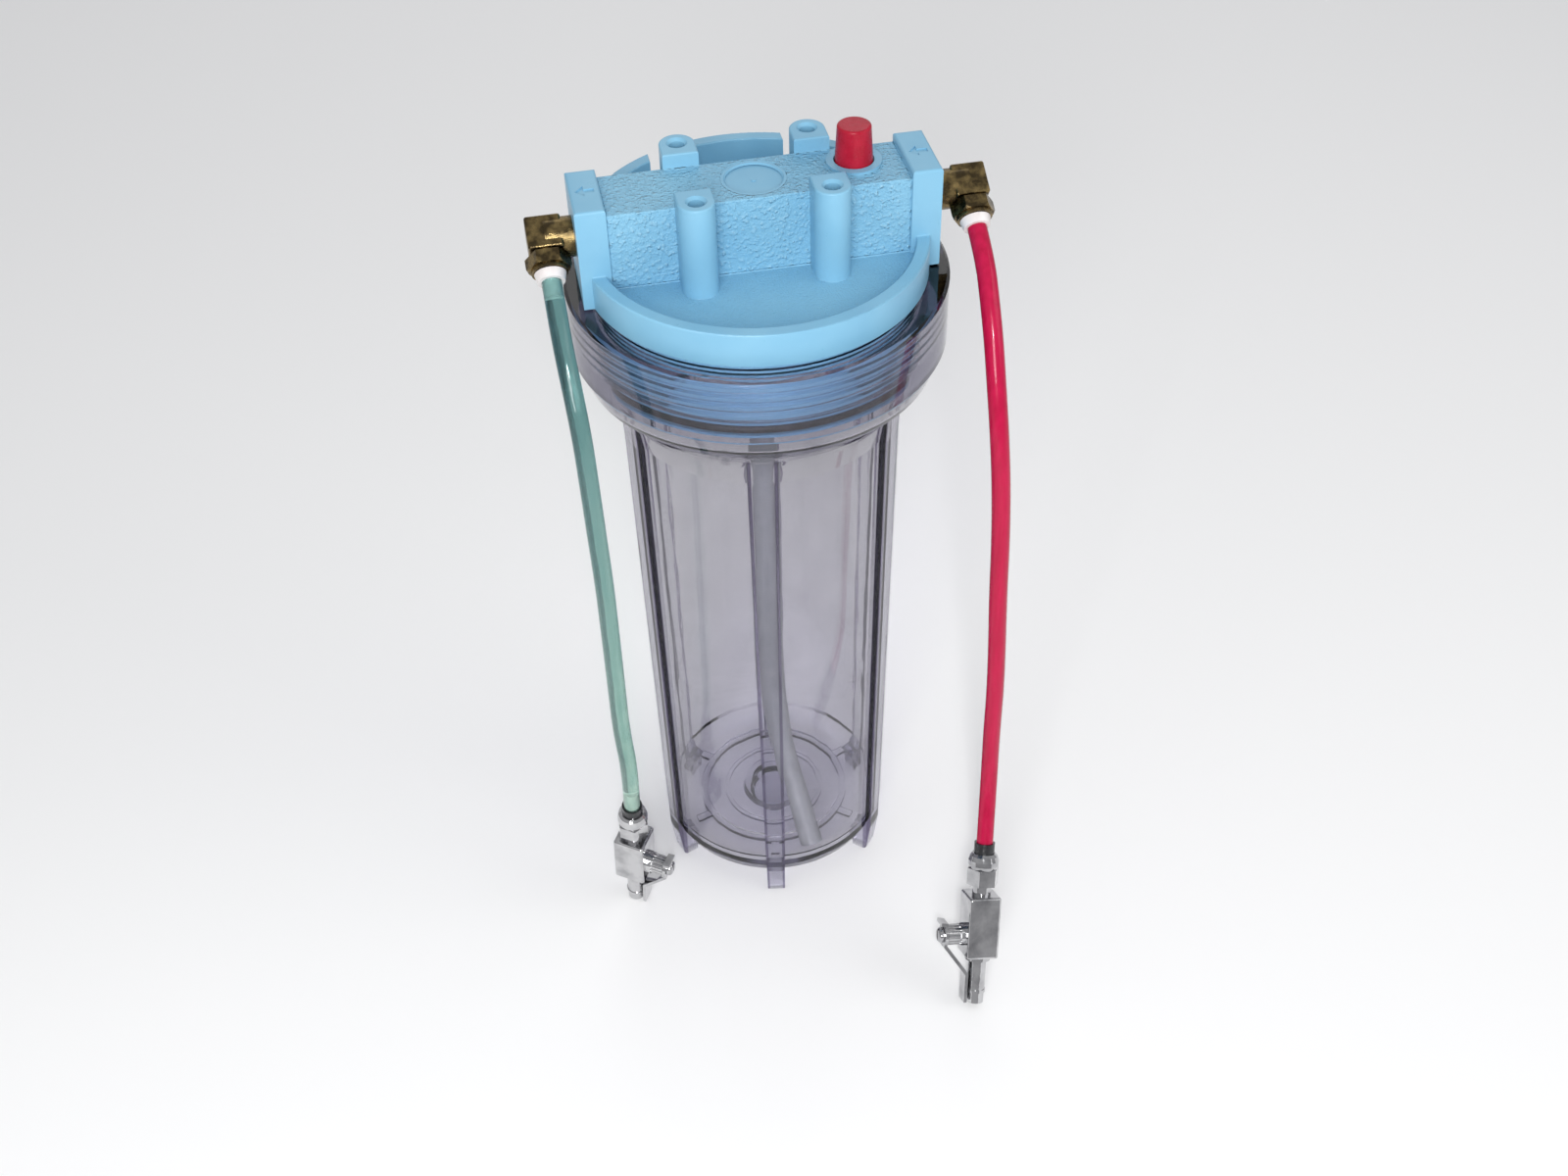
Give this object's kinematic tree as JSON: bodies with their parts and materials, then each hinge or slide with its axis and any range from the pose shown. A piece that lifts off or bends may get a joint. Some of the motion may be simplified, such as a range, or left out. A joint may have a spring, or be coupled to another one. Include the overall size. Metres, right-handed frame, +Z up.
{
  "type": "water filter housing",
  "caption": "Clear threaded filter bowl under a moulded head with relief button, elbow fittings and two hoses ending in lever ball valves.",
  "frame": {"origin": "on the bowl's axis, at the level of the six feet it stands on", "axes": "+Z up along the bowl, +X towards the inlet elbow, -Y towards the front where the hoses hang"},
  "size_m": [0.1504, 0.1801, 0.3156],
  "materials": {
    "head_plastic": "moulded sky-blue polypropylene, pebbled on the bar and flange",
    "clear_plastic": "clear moulded styrene acrylonitrile with a faint violet tint",
    "rubber": "black nitrile",
    "red_plastic": "glossy red",
    "brass": "machined brass, slightly dulled",
    "spring_steel": "drawn stainless wire",
    "milky_plastic": "translucent natural polyethylene",
    "white_plastic": "natural white acetal",
    "green_hose": "translucent green polyethylene",
    "red_hose": "glossy crimson polyethylene",
    "black_plastic": "black acetal",
    "chrome": "polished chrome plate"
  },
  "bodies": {
    "head": {"head_cap": "head_plastic", "relief_spring": "spring_steel", "dip_adapter": "white_plastic", "dip_tube": "milky_plastic", "elbow_out_body": "brass", "elbow_out_nut": "brass", "elbow_out_sleeve": "white_plastic", "elbow_out_insert": "white_plastic", "hose_out": "green_hose", "valve_out_ferrule": "black_plastic", "valve_out_insert": "white_plastic", "valve_out_nut": "chrome", "valve_out_body": "chrome", "valve_out_spout": "chrome", "valve_out_gland": "chrome", "valve_out_seats": "white_plastic", "elbow_in_body": "brass", "elbow_in_nut": "brass", "elbow_in_sleeve": "white_plastic", "elbow_in_insert": "white_plastic", "hose_in": "red_hose", "valve_in_ferrule": "black_plastic", "valve_in_insert": "white_plastic", "valve_in_nut": "chrome", "valve_in_body": "chrome", "valve_in_spout": "chrome", "valve_in_gland": "chrome", "valve_in_seats": "white_plastic"},
    "o_ring": {"bowl_o_ring": "rubber"},
    "bowl": {"bowl": "clear_plastic"},
    "button": {"relief_button": "red_plastic", "relief_stem": "brass", "relief_seal": "rubber", "relief_retainer": "brass"},
    "lever_out": {"valve_out_lever": "chrome", "valve_out_screw": "chrome", "valve_out_stem": "brass", "valve_out_ball": "chrome"},
    "lever_in": {"valve_in_lever": "chrome", "valve_in_screw": "chrome", "valve_in_stem": "brass", "valve_in_ball": "chrome"}
  },
  "joints": [
    {"name": "bowl_turn", "type": "hinge", "parent": "head", "child": "o_ring", "pos_m": [0, 0, 0.26], "axis": [0, 0, -1], "range_deg": [0, 1440]},
    {"name": "bowl_drop", "type": "slide", "parent": "o_ring", "child": "bowl", "axis": [0, 0, -1], "range_m": [0, 0.014]},
    {"name": "relief_press", "type": "slide", "parent": "head", "child": "button", "axis": [0, 0, -1], "range_m": [0, 0.0025], "stiffness_N_per_m": 900, "springref_m": -0.003, "deforming": ["relief_spring"]},
    {"name": "lever_out_turn", "type": "hinge", "parent": "head", "child": "lever_out", "pos_m": [-0.06381, -0.03717, 0.02795], "axis": [-0.8516, 0.5173, 0.0851], "range_deg": [0, 90]},
    {"name": "lever_in_turn", "type": "hinge", "parent": "head", "child": "lever_in", "pos_m": [0.06, -0.10064, 0.02556], "axis": [-0.985, 0.0396, 0.1681], "range_deg": [0, 90]}
  ],
  "couplings": [
    {"joint": "bowl_drop", "follows": "bowl_turn", "m_per_rad": 0.00055704}
  ]
}
